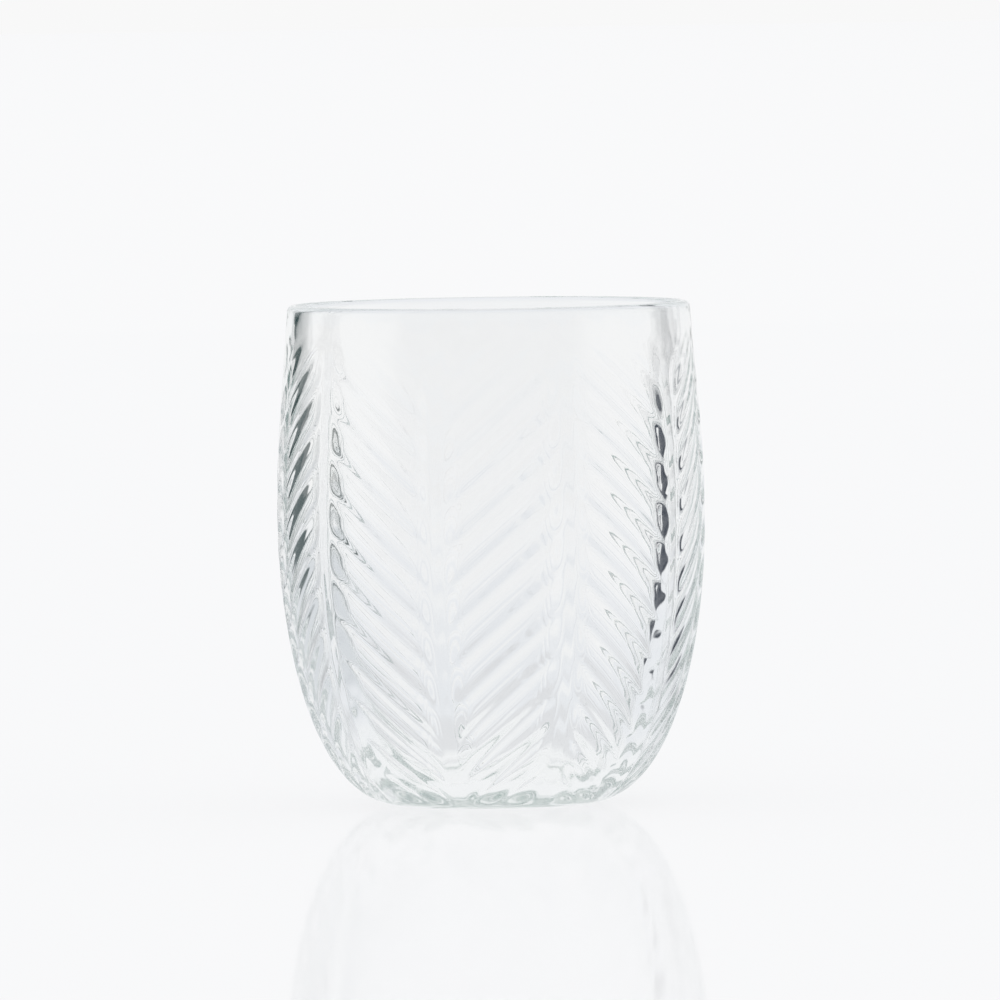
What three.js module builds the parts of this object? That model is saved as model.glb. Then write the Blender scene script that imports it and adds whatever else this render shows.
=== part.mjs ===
// Drinking tumbler of clear moulded glass, blown in one piece, with a herringbone of slanting
// grooves round its outside. Millimetres, +Z up, origin at the middle of the foot, front towards -Y.
import * as THREE from 'three';
import { mergeVertices } from 'three/addons/utils/BufferGeometryUtils.js';

// Outline of the outside
const HEIGHT = 100;
const RIM_DIAMETER = 80.5;
const RIM_LEAN = THREE.MathUtils.degToRad(4.2);
const BELLY_DIAMETER = 85.5;
const BELLY_HEIGHT = 57;
const FOOT_DIAMETER = 38;

// How far each end of the two outline curves keeps its own direction
const HEEL_REACH = 16.5;
const BELLY_REACH_DOWN = 26;
const BELLY_REACH_UP = 16;
const RIM_REACH = 20;

// Glass thickness: an even wall that thickens over its lower part into the base
const WALL = 2.4;
const BASE_THICKNESS = 5;
const THICKENING_LENGTH = 70;

// Shallow dish under the base, which leaves a flat ring to stand on
const DISH_DIAMETER = 27;
const DISH_DEPTH = 0.9;

// Herringbone: panels of slanting grooves between upright spines, climbing to the spines by turns
const PANELS = 10;
const GROOVE_PITCH = 8;
const GROOVE_RISE = 22.7;
const GROOVE_DEPTH = 1.15;
const GROOVE_START = 4.3;
const LAND_HEIGHT = 0.57;
const LAND_SHARPNESS = 2;
const END_LENGTH = 4;
const SPINE_HALF_WIDTH = 1;
const PLAIN_BAND = 4;
const TOP_FADE = 45;
const PLAIN_HEEL = 4;
const HEEL_FADE = 6;

// Fineness of the facets: shares of a groove's width and of a panel, and counts of steps
const GROOVE_ROWS = [0, 0.2, 0.5, 0.8];
const PANEL_STEPS = [0, 0.08, 0.18, 0.5, 0.82, 0.92];
const BAND_STEPS = 2;
const LIP_STEPS = 6;
const INSIDE_STEPS = 16;
const DISH_STEPS = 3;
const LEAST_STEP = 0.5;

const rimRadius = RIM_DIAMETER / 2;
const bellyRadius = BELLY_DIAMETER / 2;
const footRadius = FOOT_DIAMETER / 2;
const dishRadius = DISH_DIAMETER / 2;
const lipRadius = WALL / 2;
const wallTop = HEIGHT - lipRadius * (1 - Math.sin(RIM_LEAN));
const panelAngle = (2 * Math.PI) / PANELS;

// The outside as a curve in radius and height, from the edge of the foot to the lip
const outside = new THREE.CurvePath();
outside.add(
  new THREE.CubicBezierCurve(
    new THREE.Vector2(footRadius, 0),
    new THREE.Vector2(footRadius + HEEL_REACH, 0),
    new THREE.Vector2(bellyRadius, BELLY_HEIGHT - BELLY_REACH_DOWN),
    new THREE.Vector2(bellyRadius, BELLY_HEIGHT),
  ),
);
outside.add(
  new THREE.CubicBezierCurve(
    new THREE.Vector2(bellyRadius, BELLY_HEIGHT),
    new THREE.Vector2(bellyRadius, BELLY_HEIGHT + BELLY_REACH_UP),
    new THREE.Vector2(
      rimRadius + RIM_REACH * Math.sin(RIM_LEAN),
      wallTop - RIM_REACH * Math.cos(RIM_LEAN),
    ),
    new THREE.Vector2(rimRadius, wallTop),
  ),
);
const outsideLength = outside.getLength();
const groovesBottom = PLAIN_HEEL;
const groovesTop = outsideLength - PLAIN_BAND;

// A point at a distance along the outside, moved inwards by a depth square to the surface
function sunkPoint(distance, depth) {
  const share = distance / outsideLength;
  const point = outside.getPoint(share);
  const along = outside.getTangent(share);
  return new THREE.Vector2(point.x - depth * along.y, point.y + depth * along.x);
}

// Angles round the glass, close together at the ends of the grooves
function anglesRound() {
  const angles = [];
  for (let panel = 0; panel < PANELS; panel += 1) {
    for (const step of PANEL_STEPS) {
      angles.push({ turn: (panel + step) * panelAngle, panel, step });
    }
  }
  return angles;
}

const angles = anglesRound();

// One closed ring of points round the axis, from a function that gives radius and height
function ring(sectionAt) {
  return angles.map((angle) => {
    const section = sectionAt(angle);
    return new THREE.Vector3(
      section.x * Math.cos(angle.turn),
      section.x * Math.sin(angle.turn),
      section.y,
    );
  });
}

function plainRing(section) {
  return ring(() => section);
}

// How far a groove has climbed at an angle: none at a low spine, all of its rise at a high one
function climb(angle) {
  const share = angle.panel % 2 === 0 ? 1 - angle.step : angle.step;
  return GROOVE_RISE * share;
}

// How deep the surface is sunk: grooves between low lands, ending at the spines and fading out above
function reliefDepth(angle, row, distance) {
  const land = ((1 + Math.cos(2 * Math.PI * row)) / 2) ** LAND_SHARPNESS;
  const fromSpine = Math.min(angle.step, 1 - angle.step) * panelAngle * sunkPoint(distance, 0).x;
  const end = THREE.MathUtils.smoothstep(fromSpine, SPINE_HALF_WIDTH, SPINE_HALF_WIDTH + END_LENGTH);
  const fromTop = THREE.MathUtils.clamp((groovesTop - distance) / TOP_FADE, 0, 1);
  const heelFade = THREE.MathUtils.smoothstep(distance - groovesBottom, 0, HEEL_FADE);
  const fade = (1 - (1 - fromTop) ** 2) * heelFade;
  return (GROOVE_DEPTH - LAND_HEIGHT * land) * end * fade;
}

// A distance along the outside, kept within the grooved part and never just short of its edge
function withinGrooves(distance) {
  if (distance < groovesBottom + LEAST_STEP) {
    return groovesBottom;
  }
  if (distance > groovesTop - LEAST_STEP) {
    return groovesTop;
  }
  return distance;
}

// Rings that zigzag round the glass along the grooves, from below the grooved part to above it
function grooveRings() {
  const rings = [];
  const first = Math.floor((groovesBottom - GROOVE_RISE - GROOVE_START) / GROOVE_PITCH);
  const last = Math.ceil((groovesTop - GROOVE_START) / GROOVE_PITCH);
  for (let groove = first; groove <= last; groove += 1) {
    for (const row of GROOVE_ROWS) {
      const start = GROOVE_START + (groove + row) * GROOVE_PITCH;
      rings.push(
        ring((angle) => {
          const distance = withinGrooves(start + climb(angle));
          return sunkPoint(distance, reliefDepth(angle, row, distance));
        }),
      );
    }
  }
  return rings;
}

function undersideRings() {
  const rings = [];
  for (let i = 0; i <= DISH_STEPS; i += 1) {
    const share = i / DISH_STEPS;
    rings.push(plainRing(new THREE.Vector2(dishRadius * share, DISH_DEPTH * (1 - share ** 2))));
  }
  rings.push(plainRing(sunkPoint(0, 0)));
  rings.push(plainRing(sunkPoint(groovesBottom / 2, 0)));
  return rings;
}

function bandRings() {
  const rings = [];
  for (let i = 1; i <= BAND_STEPS; i += 1) {
    rings.push(plainRing(sunkPoint(groovesTop + (PLAIN_BAND * i) / BAND_STEPS, 0)));
  }
  return rings;
}

// Half a circle over the wall's top
function lipRings() {
  const middle = sunkPoint(outsideLength, lipRadius);
  const rings = [];
  for (let i = 1; i < LIP_STEPS; i += 1) {
    const turn = RIM_LEAN + (Math.PI * i) / LIP_STEPS;
    const offset = new THREE.Vector2(Math.cos(turn), Math.sin(turn)).multiplyScalar(lipRadius);
    rings.push(plainRing(offset.add(middle)));
  }
  return rings;
}

function wallAt(distance) {
  const thickening = 1 - THREE.MathUtils.smoothstep(distance, 0, THICKENING_LENGTH);
  return WALL + (BASE_THICKNESS - WALL) * thickening;
}

// The smooth inside, from the lip down to the edge of the flat floor and across to its middle
function insideRings() {
  const rings = [];
  for (let i = INSIDE_STEPS; i >= 0; i -= 1) {
    const distance = (outsideLength * i) / INSIDE_STEPS;
    rings.push(plainRing(sunkPoint(distance, wallAt(distance))));
  }
  rings.push(plainRing(new THREE.Vector2(0, BASE_THICKNESS)));
  return rings;
}

// Triangles between neighbouring rings, each four-sided patch split along its shorter diagonal
function skin(rings) {
  const corners = [];
  for (let level = 0; level + 1 < rings.length; level += 1) {
    for (let i = 0; i < angles.length; i += 1) {
      const next = (i + 1) % angles.length;
      const a = rings[level][i];
      const b = rings[level][next];
      const c = rings[level + 1][next];
      const d = rings[level + 1][i];
      if (a.distanceTo(c) < b.distanceTo(d)) {
        corners.push(a, b, c, a, c, d);
      } else {
        corners.push(a, b, d, b, c, d);
      }
    }
  }
  return withoutEmptyTriangles(mergeVertices(new THREE.BufferGeometry().setFromPoints(corners)));
}

function withoutEmptyTriangles(geometry) {
  const index = geometry.index.array;
  const kept = [];
  for (let i = 0; i < index.length; i += 3) {
    const [a, b, c] = index.slice(i, i + 3);
    if (a !== b && b !== c && c !== a) {
      kept.push(a, b, c);
    }
  }
  geometry.setIndex(kept);
  geometry.computeVertexNormals();
  return geometry;
}

const clearGlass = new THREE.MeshStandardMaterial({
  color: 0xe3ebe9,
  roughness: 0.04,
  metalness: 0,
  transparent: true,
  opacity: 0.35,
});

const tumblerSkin = skin([
  ...undersideRings(),
  plainRing(sunkPoint(groovesBottom, 0)),
  ...grooveRings(),
  ...bandRings(),
  ...lipRings(),
  ...insideRings(),
]);
const tumbler = new THREE.Mesh(tumblerSkin, clearGlass);
tumbler.name = 'tumbler';

const glass = new THREE.Group();
glass.add(tumbler);

export default glass;
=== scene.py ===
import math
from collections import namedtuple

import bpy
import numpy as np
from mathutils import Matrix, Vector


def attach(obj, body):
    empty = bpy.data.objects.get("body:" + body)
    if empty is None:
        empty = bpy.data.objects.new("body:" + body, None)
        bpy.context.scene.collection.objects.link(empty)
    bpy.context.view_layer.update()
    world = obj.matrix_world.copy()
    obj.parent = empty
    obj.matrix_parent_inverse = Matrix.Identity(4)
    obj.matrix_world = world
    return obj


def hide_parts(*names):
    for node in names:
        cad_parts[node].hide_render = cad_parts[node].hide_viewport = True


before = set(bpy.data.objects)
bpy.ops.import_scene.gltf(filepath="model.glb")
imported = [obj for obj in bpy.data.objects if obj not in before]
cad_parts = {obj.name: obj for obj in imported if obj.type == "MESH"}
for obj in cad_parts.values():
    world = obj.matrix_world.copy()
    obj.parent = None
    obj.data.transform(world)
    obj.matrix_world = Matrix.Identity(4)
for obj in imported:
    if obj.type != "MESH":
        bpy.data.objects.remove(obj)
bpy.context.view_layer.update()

MM = 0.001
WHITE = (1, 1, 1, 1)

# Outline of the outside, in metres, from the edge of the foot over the belly to the rim
HEIGHT = 100 * MM
RIM_RADIUS = 40.25 * MM
RIM_LEAN = math.radians(4.2)
BELLY_RADIUS = 42.75 * MM
BELLY_HEIGHT = 57 * MM
FOOT_RADIUS = 19 * MM
HEEL_REACH = 16.5 * MM
BELLY_REACH_DOWN = 26 * MM
BELLY_REACH_UP = 16 * MM
RIM_REACH = 20 * MM

# Thickness of the glass and the dish under the base
WALL = 2.4 * MM
BASE_THICKNESS = 5 * MM
THICKENING_LENGTH = 70 * MM
DISH_RADIUS = 13.5 * MM
DISH_DEPTH = 0.9 * MM

# Herringbone of leaf-shaped grooves, in upright panels between plain spines
PANELS = 10
GROOVE_PITCH = 8 * MM
GROOVE_RISE = 22.7 * MM
GROOVE_DEPTH = 1.15 * MM
GROOVE_START = 4.3 * MM
LAND_HEIGHT = 0.57 * MM
LAND_SHARPNESS = 2
END_LENGTH = 4 * MM
SPINE_HALF_WIDTH = 1 * MM
PLAIN_BAND = 4 * MM
TOP_FADE = 38 * MM
PLAIN_HEEL = 4 * MM
HEEL_FADE = 6 * MM

# How much higher the grooves of some panels sit, by the panel's number
PANEL_SHIFTS = {5: -2 * MM, 8: -0.8 * MM, 9: 3.5 * MM}

# Fineness of the mesh
OUTLINE_STEPS = 2000
PANEL_COLUMNS = 36
COLUMN_CROWDING = 0.5
ROW_BEND = 22 * MM
GROOVE_ROWS = 16
INSIDE_ROWS = 34
LIP_ROWS = 10
DISH_ROWS = 6
FLOOR_ROWS = 6

# Clear glass with a faint tint
GLASS_IOR = 1.5
TINT_COLOUR = (0.52, 0.64, 0.61, 1)
TINT_DENSITY = 5

# Faint waves in the surface of the glass and patches that are a little less polished
WAVE_SCALE = 130
WAVE_DETAIL = 1
WAVE_HEIGHT = 0.06 * MM
WEAR_SCALE = 60
WEAR_STARTS = 0.55
WEAR_IS_FULL = 0.8
WEAR_ROUGHNESS = 0.03

# Camera: a long lens, a little above the rim
CAMERA_AZIMUTH = math.radians(-3.3)
CAMERA_DISTANCE = 2.6
CAMERA_HEIGHT = 0.178
CAMERA_REACH = 20
AIM_RIGHT = 1.8 * MM
AIM_HEIGHT = 60.5 * MM
CAMERA_ROLL = math.radians(-0.8)
CAMERA_LENS = 469
CAMERA_SENSOR = 36

# Studio: a white table and white all round, as the camera sees them
FLOOR_HALF = 40
FLOOR_HEIGHT = -0.2 * MM
FLOOR_GLOSS = 0.2
FLOOR_ROUGHNESS = 0.05
FLOOR_GLOW = 0.87
STUDIO_COLOUR = (0.94, 0.94, 0.94, 1)
FLOOR_COLOUR = (0.95, 0.953, 0.965, 1)

# Limits for a part that has no edge on that side: round the glass, upwards, downwards and outwards
ROUND = 200
TOP = 100
DOWN = -90
FAR = 50
FARTHER = 60

# A glowing dome seen only in the glass and in the table's gloss, painted with reflections: darker walls,
# ceiling and camera side, a brighter window and dark and grey strips; degrees to the right of straight
# behind and above the table
PaintedReflectionPart = namedtuple("PaintedReflectionPart", "first last low high edge shade")
REFLECTION_DOME_GLOW = (0.915, 0.92, 0.925)
PAINTED_REFLECTION_PARTS = {
    # Each row is a painted reflection, a glowing patch that only the glass and the table's gloss show
    "painted_wall": PaintedReflectionPart(45, 315, 12, TOP, 10, (0.66, 0.67, 0.68)),
    "painted_wall_behind": PaintedReflectionPart(-45, 45, 28, TOP, 10, (0.82, 0.83, 0.83)),
    "painted_ceiling": PaintedReflectionPart(-ROUND, ROUND, 50, TOP, 10, (0.8, 0.82, 0.81)),
    "painted_window_left": PaintedReflectionPart(-125, -62, DOWN, 22, 14, (0.99, 0.98, 0.96)),
    "camera_side": PaintedReflectionPart(125, 235, DOWN, 9, 14, (0.5, 0.5, 0.52)),
    "camera_side_high": PaintedReflectionPart(125, 235, 9, 50, 14, (0.4, 0.44, 0.47)),
    "right_dark": PaintedReflectionPart(49, 65, DOWN, 12, 2, (0.03, 0.04, 0.06)),
    "right_strip": PaintedReflectionPart(39, 43, DOWN, 12, 1.5, (0.45, 0.47, 0.49)),
    "left_grey": PaintedReflectionPart(-56, -32, DOWN, 14, 2, (0.15, 0.17, 0.17)),
    "left_dark": PaintedReflectionPart(-48, -31, DOWN, 14, 3, (0.02, 0.05, 0.05)),
}
ROOM_RADIUS = 3
ROOM_MIDDLE = 50 * MM
ROOM_LOWEST = -1
ROOM_HIGHEST = 90
ROOM_STEPS = 361
ROOM_ROWS = 92

# The table as the glass sees it, a glow with painted shade in place of the lit table: the same degrees, and
# metres from the axis where a part comes and goes
PaintedTableShade = namedtuple("PaintedTableShade", "first last comes is_in goes is_out edge shade")
TABLE_GLOW_IN_GLASS = (0.905, 0.915, 0.925)
PAINTED_TABLE_SHADES = {
    # The first two rows paint the glass's own shadow on the table round its foot, the rest paint dark
    # sectors; the camera sees none of them
    "near": PaintedTableShade(-ROUND, ROUND, 0.03, 0.06, 0.1, 0.5, 10, (0.83, 0.85, 0.88)),
    "behind": PaintedTableShade(-50, 50, 0.03, 0.05, 0.08, 0.13, 20, (0.75, 0.76, 0.78)),
    "front": PaintedTableShade(110, 250, 0.05, 0.1, FAR, FARTHER, 30, (0.72, 0.73, 0.74)),
    "left": PaintedTableShade(-120, -45, 0.05, 0.08, 0.3, 0.6, 20, (0.68, 0.71, 0.74)),
    "right_dark": PaintedTableShade(51, 70, 0.09, 0.13, FAR, FARTHER, 3, (0.05, 0.06, 0.08)),
    "left_dark": PaintedTableShade(-56, -29, 0.2, 0.33, FAR, FARTHER, 3, (0.03, 0.06, 0.06)),
}
TABLE_ROWS = 40

LIGHT_BOUNCES = 128

LIP_RADIUS = WALL / 2
WALL_TOP = HEIGHT - LIP_RADIUS * (1 - math.sin(RIM_LEAN))
PANEL_ANGLE = 2 * math.pi / PANELS
COLUMNS = PANELS * PANEL_COLUMNS


def smooth_step(value, low, high):
    share = np.clip((value - low) / (high - low), 0, 1)
    return share * share * (3 - 2 * share)


def cubic(points, count):
    """Points along a cubic curve given by its two ends and two handles."""
    t = np.linspace(0, 1, count)[:, None]
    a, b, c, d = np.array(points)
    return (1 - t) ** 3 * a + 3 * (1 - t) ** 2 * t * b + 3 * (1 - t) * t**2 * c + t**3 * d


class Outline:
    """The outside as radius and height by distance from the edge of the foot."""

    def __init__(self):
        heel = cubic(
            [
                (FOOT_RADIUS, 0),
                (FOOT_RADIUS + HEEL_REACH, 0),
                (BELLY_RADIUS, BELLY_HEIGHT - BELLY_REACH_DOWN),
                (BELLY_RADIUS, BELLY_HEIGHT),
            ],
            OUTLINE_STEPS,
        )
        shoulder = cubic(
            [
                (BELLY_RADIUS, BELLY_HEIGHT),
                (BELLY_RADIUS, BELLY_HEIGHT + BELLY_REACH_UP),
                (
                    RIM_RADIUS + RIM_REACH * math.sin(RIM_LEAN),
                    WALL_TOP - RIM_REACH * math.cos(RIM_LEAN),
                ),
                (RIM_RADIUS, WALL_TOP),
            ],
            OUTLINE_STEPS,
        )
        self.points = np.concatenate([heel, shoulder[1:]])
        pieces = np.linalg.norm(np.diff(self.points, axis=0), axis=1)
        self.distance = np.concatenate([[0], np.cumsum(pieces)])
        self.length = self.distance[-1]
        self.slope = np.gradient(self.points, self.distance, axis=0)

    def sunk(self, distance, depth):
        """Radius and height at a distance, moved inwards by a depth square to the surface."""
        radius = np.interp(distance, self.distance, self.points[:, 0])
        height = np.interp(distance, self.distance, self.points[:, 1])
        along_r = np.interp(distance, self.distance, self.slope[:, 0])
        along_z = np.interp(distance, self.distance, self.slope[:, 1])
        return radius - depth * along_z, height + depth * along_r


def climb_share(turn):
    """How far up a slanting groove lies at each turn: 1 on a high spine and 0 on a low one."""
    return np.abs(turn / PANEL_ANGLE % 2 - 1)


def relief_depth(outline, turn, distance):
    """How deep the herringbone sinks the surface: slanting grooves between low lands and high spines."""
    shifts = np.array([PANEL_SHIFTS.get(panel, 0) for panel in range(PANELS)])
    start = GROOVE_START + shifts[(turn / PANEL_ANGLE).astype(int) % PANELS]
    groove = (distance - start - GROOVE_RISE * climb_share(turn)) / GROOVE_PITCH
    hollow = GROOVE_DEPTH - LAND_HEIGHT * ((1 + np.cos(2 * math.pi * groove)) / 2) ** LAND_SHARPNESS
    half_panel = np.interp(distance, outline.distance, outline.points[:, 0]) * PANEL_ANGLE / 2
    from_spine = (1 - np.abs(turn / PANEL_ANGLE % 1 * 2 - 1)) * half_panel
    ends = smooth_step(from_spine, SPINE_HALF_WIDTH, SPINE_HALF_WIDTH + END_LENGTH)
    from_top = np.clip((outline.length - PLAIN_BAND - distance) / TOP_FADE, 0, 1)
    fade = (1 - (1 - from_top) ** 2) * smooth_step(distance - PLAIN_HEEL, 0, HEEL_FADE)
    return hollow * fade * ends


def wall_thickness(distance):
    thickening = 1 - smooth_step(distance, 0, THICKENING_LENGTH)
    return WALL + (BASE_THICKNESS - WALL) * thickening


def glass_rings(outline, turn):
    """Radius and height of each ring of the skin, from the middle of the underside to the cup's floor."""
    rings = []
    for share in np.linspace(0, 1, DISH_ROWS + 1)[1:]:
        rings.append((DISH_RADIUS * share, DISH_DEPTH * (1 - share**2)))
    row = GROOVE_PITCH / GROOVE_ROWS
    for middle in [*np.arange(0, outline.length - row / 2, row), outline.length]:
        bend = smooth_step(middle, 0, ROW_BEND) * smooth_step(outline.length - middle, 0, ROW_BEND)
        distance = middle + GROOVE_RISE * (climb_share(turn) - 0.5) * bend
        rings.append(outline.sunk(distance, relief_depth(outline, turn, distance)))
    middle_r, middle_z = outline.sunk(outline.length, LIP_RADIUS)
    for step in range(1, LIP_ROWS):
        lean = RIM_LEAN + math.pi * step / LIP_ROWS
        rings.append((middle_r + LIP_RADIUS * math.cos(lean), middle_z + LIP_RADIUS * math.sin(lean)))
    for distance in np.linspace(outline.length, 0, INSIDE_ROWS):
        rings.append(outline.sunk(distance, wall_thickness(distance)))
    for share in np.linspace(1, 0, FLOOR_ROWS + 1)[1:-1]:
        rings.append((FOOT_RADIUS * share, BASE_THICKNESS))
    return rings


def glass_mesh():
    """One closed skin: rings of points joined by four-sided faces, with a point at each pole."""
    outline = Outline()
    share = np.arange(COLUMNS) / PANEL_COLUMNS
    turn = PANEL_ANGLE * (share - COLUMN_CROWDING * np.sin(2 * math.pi * share) / (2 * math.pi))
    rings = glass_rings(outline, turn)
    points = []
    for radius, height in rings:
        radius = np.broadcast_to(radius, turn.shape)
        height = np.broadcast_to(height, turn.shape)
        points.append(np.stack([radius * np.cos(turn), radius * np.sin(turn), height], axis=1))
    points.append(np.array([[0, 0, DISH_DEPTH], [0, 0, BASE_THICKNESS]]))
    points = np.concatenate(points)
    index = np.arange(len(rings) * COLUMNS).reshape(len(rings), COLUMNS)
    after = np.roll(index, -1, axis=1)
    sides = np.stack([index[:-1], after[:-1], after[1:], index[1:]], axis=-1).reshape(-1, 4)
    under, floor = len(points) - 2, len(points) - 1
    faces = sides.tolist()
    for i in range(COLUMNS):
        faces.append([under, int(index[0, i + 1 - COLUMNS]), int(index[0, i])])
        faces.append([floor, int(index[-1, i]), int(index[-1, i + 1 - COLUMNS])])
    mesh = bpy.data.meshes.new("tumbler_glass")
    mesh.from_pydata(points.tolist(), [], faces)
    mesh.shade_smooth()
    return mesh


def seen_from_camera(right, away, height):
    """Points in the frame from places to the right of the axis and beyond it, as the camera sees them."""
    cos, sin = math.cos(CAMERA_AZIMUTH), math.sin(CAMERA_AZIMUTH)
    return np.stack([right * cos - away * sin, right * sin + away * cos, height], axis=-1)


def link(name, data):
    made = bpy.data.objects.new(name, data)
    bpy.context.scene.collection.objects.link(made)
    return made


def new_material(name):
    material = bpy.data.materials.new(name)
    material.use_nodes = True
    return material, material.node_tree.nodes, material.node_tree.links


def clear_glass():
    material, nodes, links = new_material("clear_glass")
    shader = nodes["Principled BSDF"]
    shader.inputs["Base Color"].default_value = WHITE
    shader.inputs["IOR"].default_value = GLASS_IOR
    shader.inputs["Transmission Weight"].default_value = 1
    place = nodes.new("ShaderNodeTexCoord")
    waves = nodes.new("ShaderNodeTexNoise")
    waves.inputs["Scale"].default_value = WAVE_SCALE
    waves.inputs["Detail"].default_value = WAVE_DETAIL
    links.new(place.outputs["Object"], waves.inputs["Vector"])
    bump = nodes.new("ShaderNodeBump")
    bump.inputs["Strength"].default_value = 1
    bump.inputs["Distance"].default_value = WAVE_HEIGHT
    links.new(waves.outputs["Fac"], bump.inputs["Height"])
    links.new(bump.outputs["Normal"], shader.inputs["Normal"])
    wear = nodes.new("ShaderNodeTexNoise")
    wear.inputs["Scale"].default_value = WEAR_SCALE
    links.new(place.outputs["Object"], wear.inputs["Vector"])
    polish = nodes.new("ShaderNodeMapRange")
    polish.inputs["From Min"].default_value = WEAR_STARTS
    polish.inputs["From Max"].default_value = WEAR_IS_FULL
    polish.inputs["To Max"].default_value = WEAR_ROUGHNESS
    links.new(wear.outputs["Fac"], polish.inputs["Value"])
    links.new(polish.outputs["Result"], shader.inputs["Roughness"])
    tint = nodes.new("ShaderNodeVolumeAbsorption")
    tint.inputs["Color"].default_value = TINT_COLOUR
    tint.inputs["Density"].default_value = TINT_DENSITY
    links.new(tint.outputs["Volume"], nodes["Material Output"].inputs["Volume"])
    return material


def round_part(angle, part):
    """1 well inside a part's angles round the glass and 0 outside them, with soft edges."""
    middle, half = (part.first + part.last) / 2, (part.last - part.first) / 2
    away = np.abs((angle - middle + 180) % 360 - 180)
    return 1 - smooth_step(away, half - part.edge / 2, half + part.edge / 2)


def blend(colours, share, shade):
    return colours + share[..., None] * (np.array(shade) - colours)


def room_card(name, angles, out, height, colours):
    """A sheet of points round the glass, with a row for each angle and a colour for each point."""
    turn = np.radians(angles)[:, None]
    rows, places = len(angles), len(out)
    height = np.broadcast_to(height, (rows, places))
    points = seen_from_camera(out * np.sin(turn), out * np.cos(turn), height)
    index = np.arange(rows * places).reshape(rows, places)
    faces = np.stack([index[:-1, :-1], index[1:, :-1], index[1:, 1:], index[:-1, 1:]], axis=-1)
    mesh = bpy.data.meshes.new(name)
    mesh.from_pydata(points.reshape(-1, 3).tolist(), [], faces.reshape(-1, 4).tolist())
    shade = mesh.color_attributes.new("shade", "FLOAT_COLOR", "POINT")
    shade.data.foreach_set("color", np.append(colours, np.ones((rows, places, 1)), axis=-1).ravel())
    card = link(name, mesh)
    return card


def shade_glow(nodes, links):
    """A glow in the painted shades that a sheet's points have."""
    glow = nodes.new("ShaderNodeEmission")
    colour = nodes.new("ShaderNodeAttribute")
    colour.attribute_name = "shade"
    links.new(colour.outputs["Color"], glow.inputs["Color"])
    return glow


def make_floor():
    """A wide white table, a little glossy, as the camera sees it; every other ray sees a glow with painted
    shade, which shows only in the glass.
    """
    angles = np.linspace(-180, 180, ROOM_STEPS)
    out = np.array([0, *np.geomspace(FOOT_RADIUS, ROOM_RADIUS, TABLE_ROWS), FLOOR_HALF])
    angle, place = np.meshgrid(angles, out, indexing="ij")
    colours = np.tile(TABLE_GLOW_IN_GLASS, (*angle.shape, 1))
    for part in PAINTED_TABLE_SHADES.values():
        outwards = smooth_step(place, part.comes, part.is_in)
        outwards = outwards * (1 - smooth_step(place, part.goes, part.is_out))
        colours = blend(colours, round_part(angle, part) * outwards, part.shade)
    floor = room_card("floor", angles, out, FLOOR_HEIGHT, colours)
    material, nodes, links = new_material("floor")
    nodes.remove(nodes["Principled BSDF"])
    matt = nodes.new("ShaderNodeBsdfDiffuse")
    matt.inputs["Color"].default_value = WHITE
    glow = nodes.new("ShaderNodeEmission")
    glow.inputs["Color"].default_value = FLOOR_COLOUR
    gloss = nodes.new("ShaderNodeBsdfGlossy")
    gloss.distribution = "MULTI_GGX"
    gloss.inputs["Color"].default_value = WHITE
    gloss.inputs["Roughness"].default_value = FLOOR_ROUGHNESS
    lit = nodes.new("ShaderNodeMixShader")
    lit.inputs["Fac"].default_value = FLOOR_GLOW
    links.new(matt.outputs["BSDF"], lit.inputs[1])
    links.new(glow.outputs["Emission"], lit.inputs[2])
    table = nodes.new("ShaderNodeMixShader")
    table.inputs["Fac"].default_value = FLOOR_GLOSS
    links.new(lit.outputs["Shader"], table.inputs[1])
    links.new(gloss.outputs["BSDF"], table.inputs[2])
    # The camera sees the lit white table; every other ray sees the glow with the painted shades
    path = nodes.new("ShaderNodeLightPath")
    seen = nodes.new("ShaderNodeMixShader")
    links.new(path.outputs["Is Camera Ray"], seen.inputs["Fac"])
    links.new(shade_glow(nodes, links).outputs["Emission"], seen.inputs[1])
    links.new(table.outputs["Shader"], seen.inputs[2])
    links.new(seen.outputs["Shader"], nodes["Material Output"].inputs["Surface"])
    floor.data.materials.append(material)


def make_world():
    """Even white light from all sides."""
    world = bpy.data.worlds.new("studio")
    bpy.context.scene.world = world
    world.use_nodes = True
    back = world.node_tree.nodes["Background"]
    back.inputs["Color"].default_value = STUDIO_COLOUR
    back.inputs["Strength"].default_value = 1


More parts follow.
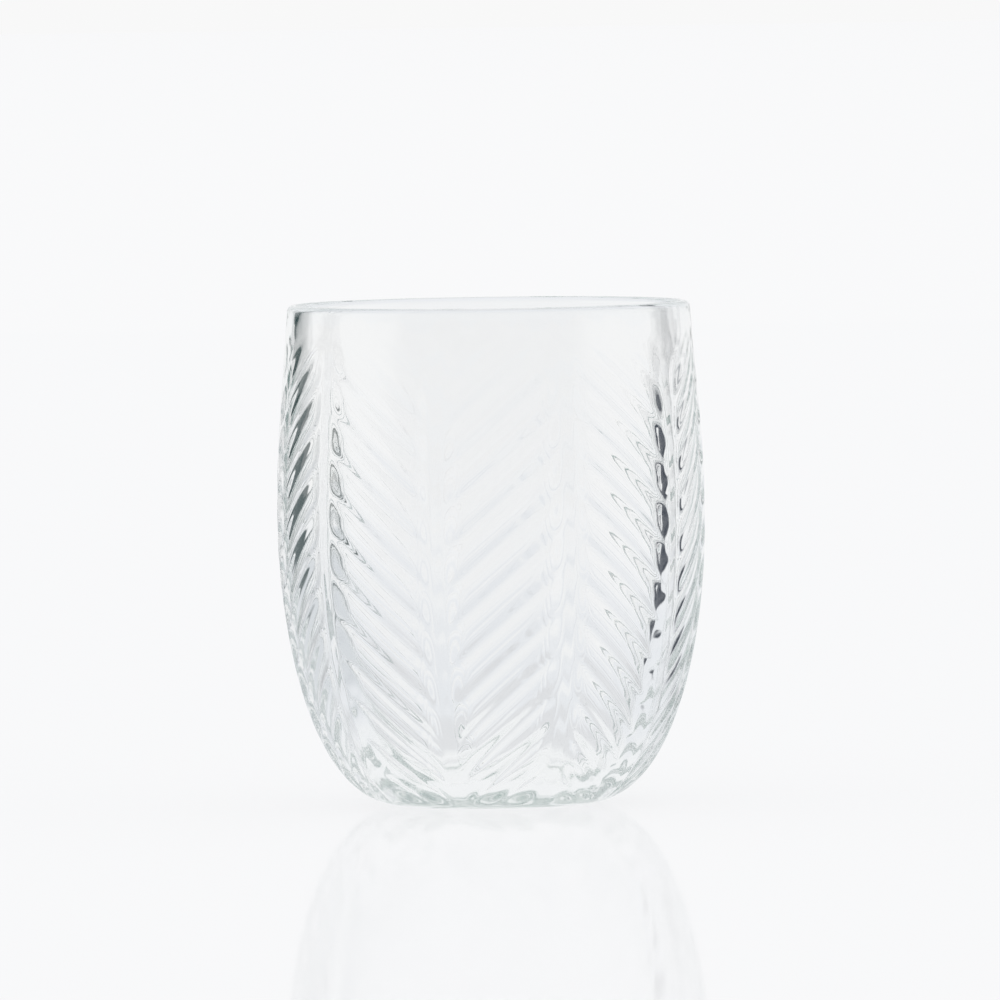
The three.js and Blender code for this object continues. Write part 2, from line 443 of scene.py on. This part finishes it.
def make_reflection_dome():
    """A glowing dome of painted reflections that shows only in the glass and in the table's gloss: pale,
    with darker parts and a brighter window.
    """
    angles = np.linspace(-180, 180, ROOM_STEPS)
    elevations = np.linspace(ROOM_LOWEST, ROOM_HIGHEST, ROOM_ROWS)
    angle, elevation = np.meshgrid(angles, elevations, indexing="ij")
    colours = np.tile(REFLECTION_DOME_GLOW, (*angle.shape, 1))
    for part in PAINTED_REFLECTION_PARTS.values():
        soft = part.edge / 2
        upright = smooth_step(elevation, part.low - soft, part.low + soft)
        upright = upright * (1 - smooth_step(elevation, part.high - soft, part.high + soft))
        colours = blend(colours, round_part(angle, part) * upright, part.shade)
    up = np.radians(elevations)
    out = ROOM_RADIUS * np.cos(up)
    height = ROOM_MIDDLE + ROOM_RADIUS * np.sin(up)
    reflection_dome = room_card("reflection_dome", angles, out, height, colours)
    # Hidden from the camera, from matt surfaces and from shadows, so the dome only paints reflections into
    # the glass and the table's gloss
    reflection_dome.visible_camera = False
    reflection_dome.visible_diffuse = False
    reflection_dome.visible_shadow = False
    material, nodes, links = new_material("reflection_dome")
    nodes.remove(nodes["Principled BSDF"])
    links.new(shade_glow(nodes, links).outputs["Emission"], nodes["Material Output"].inputs["Surface"])
    reflection_dome.data.materials.append(material)


def make_camera():
    data = bpy.data.cameras.new("camera")
    data.lens = CAMERA_LENS
    data.sensor_width = CAMERA_SENSOR
    data.clip_end = CAMERA_REACH
    camera = link("camera", data)
    place = Vector(seen_from_camera(0, -CAMERA_DISTANCE, CAMERA_HEIGHT))
    back = place - Vector(seen_from_camera(AIM_RIGHT, 0, AIM_HEIGHT))
    turn = back.to_track_quat("Z", "Y") @ Matrix.Rotation(CAMERA_ROLL, 3, "Z").to_quaternion()
    camera.matrix_world = Matrix.Translation(place) @ turn.to_matrix().to_4x4()
    bpy.context.scene.camera = camera


make_camera()
tumbler = link("tumbler_glass", glass_mesh())
tumbler.data.materials.append(clear_glass())
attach(tumbler, "root")
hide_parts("tumbler")
make_floor()
make_reflection_dome()
make_world()
scene = bpy.context.scene
scene.view_settings.view_transform = "Standard"
scene.cycles.max_bounces = LIGHT_BOUNCES
scene.cycles.glossy_bounces = LIGHT_BOUNCES
scene.cycles.transmission_bounces = LIGHT_BOUNCES
